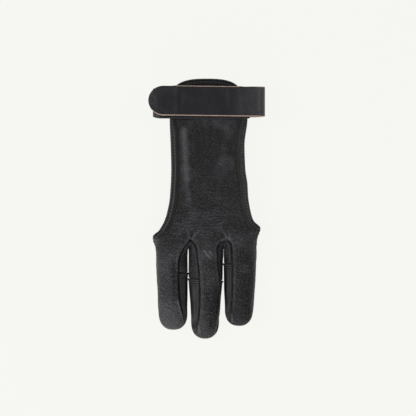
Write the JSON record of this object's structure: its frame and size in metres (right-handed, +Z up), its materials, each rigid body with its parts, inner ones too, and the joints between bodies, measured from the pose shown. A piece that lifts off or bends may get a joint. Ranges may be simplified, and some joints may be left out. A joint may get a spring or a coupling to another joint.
{
  "type": "three-finger archery glove",
  "caption": "Soft leather shooting glove: three finger stalls with reinforced tips, open palm, long back panel and a hook-and-loop wrist strap.",
  "frame": {"origin": "middle of the glove's outline on the surface that it lies on, at its lowest point", "axes": "+Y from the fingertips to the wrist strap, +Z up from the palm side to the back of the hand, +X from the ring finger's stall to the index finger's"},
  "size_m": [0.0974, 0.218, 0.0179],
  "materials": {
    "soft_leather": "black grained garment leather, satin",
    "tip_leather": "black firm smooth leather, satin",
    "binding_leather": "black folded leather strip, satin",
    "strap_leather": "black grained leather with tan raw edges",
    "tape_nylon": "black woven hook-and-loop tape"
  },
  "bodies": {
    "root": {"back_panel": "soft_leather", "palm_panel": "soft_leather", "fourchette_ring_middle": "soft_leather", "fourchette_middle_index": "soft_leather", "tip_leather_ring": "tip_leather", "tip_leather_middle": "tip_leather", "tip_leather_index": "tip_leather", "binding_ring_side": "binding_leather", "binding_index_side": "binding_leather", "binding_top_end": "binding_leather", "binding_palm_hem": "binding_leather", "wrist_strap": "strap_leather", "loop_tape": "tape_nylon", "hook_tape": "tape_nylon"}
  },
  "joints": []
}
